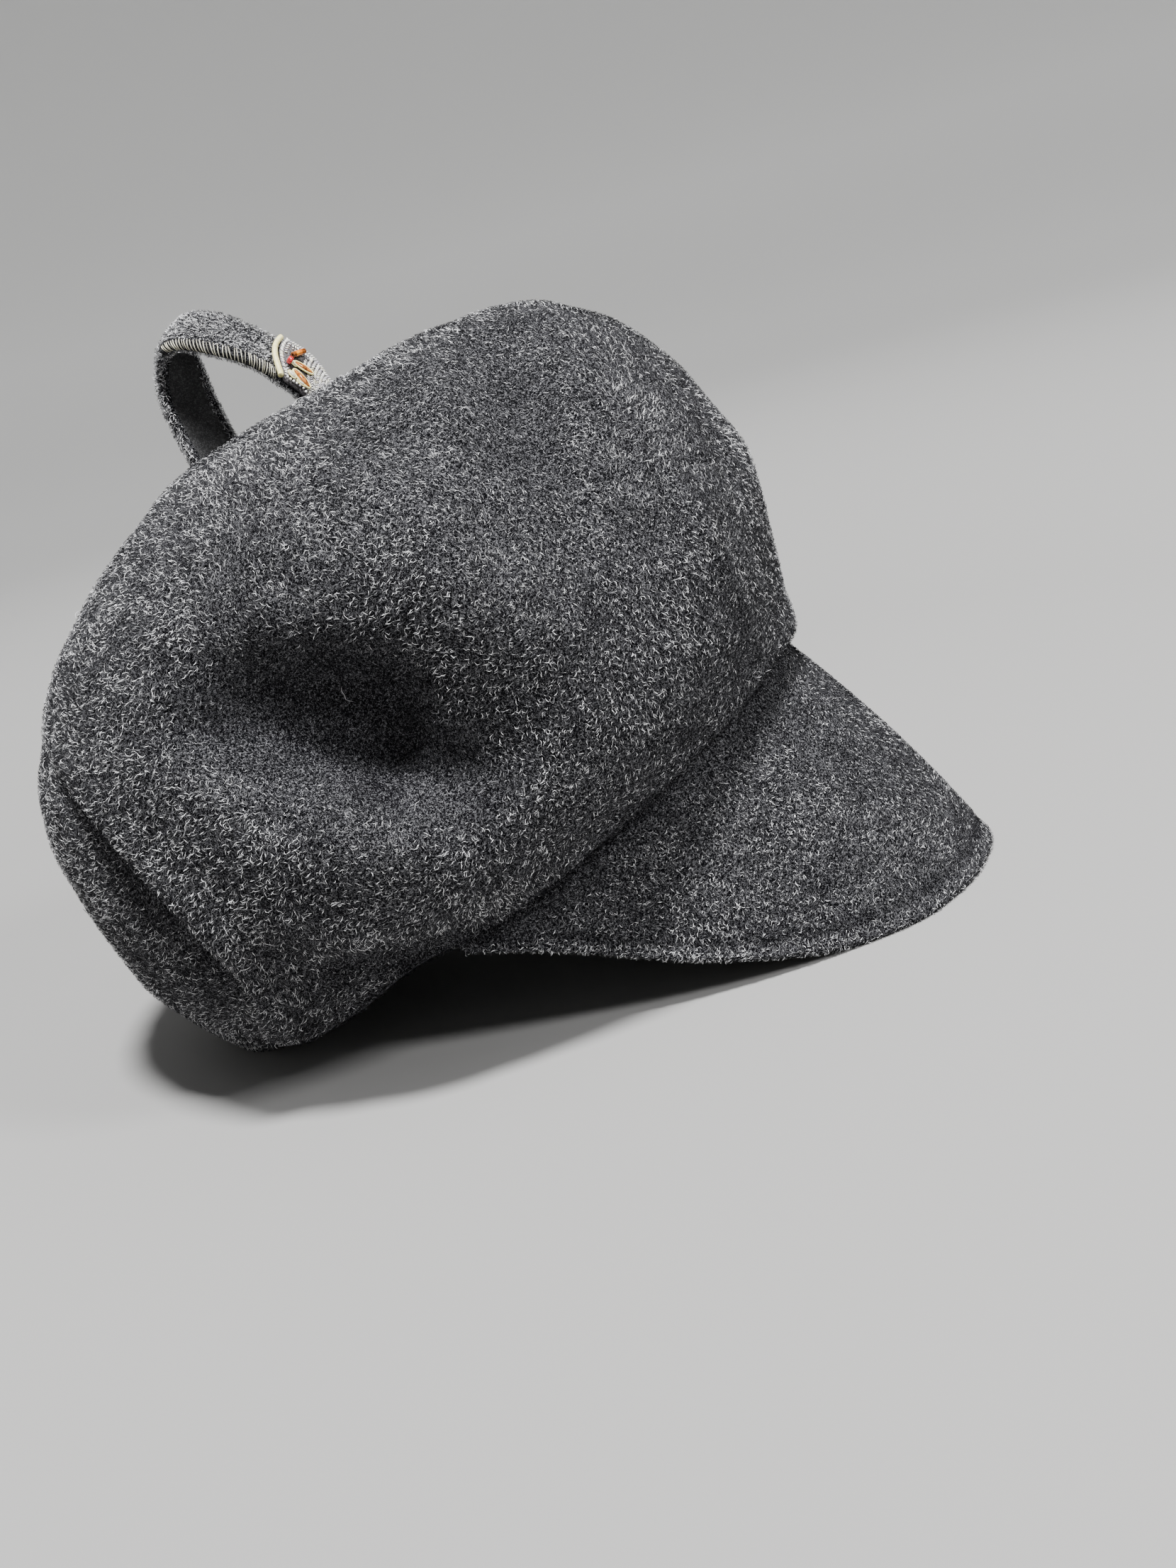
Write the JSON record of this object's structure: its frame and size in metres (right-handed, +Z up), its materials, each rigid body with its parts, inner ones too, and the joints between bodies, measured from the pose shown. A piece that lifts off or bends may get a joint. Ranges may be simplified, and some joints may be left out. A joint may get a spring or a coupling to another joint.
{
  "type": "peaked felt hat",
  "caption": "Soft bubble-crowned cap of long-haired felt with a turned rim, a long sloping peak, and a felt loop on top with a small beaded tab.",
  "frame": {"origin": "on the surface that the hat rests on, under the middle of its box", "axes": "+Z up, the peak points to -Y, and the wearer's right is -X"},
  "size_m": [0.2291, 0.2898, 0.223],
  "materials": {
    "felt": "long-haired velour felt, near black with silver-grey hairs",
    "beadwork": "cloth covered with white and silver seed beads",
    "piping": "smooth pale yellow cord",
    "red_glass": "glossy opaque red bead",
    "orange_glass": "glossy orange bugle bead",
    "amber_glass": "glossy amber-brown leaf-shaped bead"
  },
  "bodies": {
    "root": {"crown": "felt", "peak": "felt", "loop": "felt", "bead_tab": "beadwork", "tab_piping": "piping", "red_bead": "red_glass", "orange_bugle": "orange_glass", "amber_leaf_upper": "amber_glass", "amber_leaf_lower": "amber_glass"}
  },
  "joints": []
}
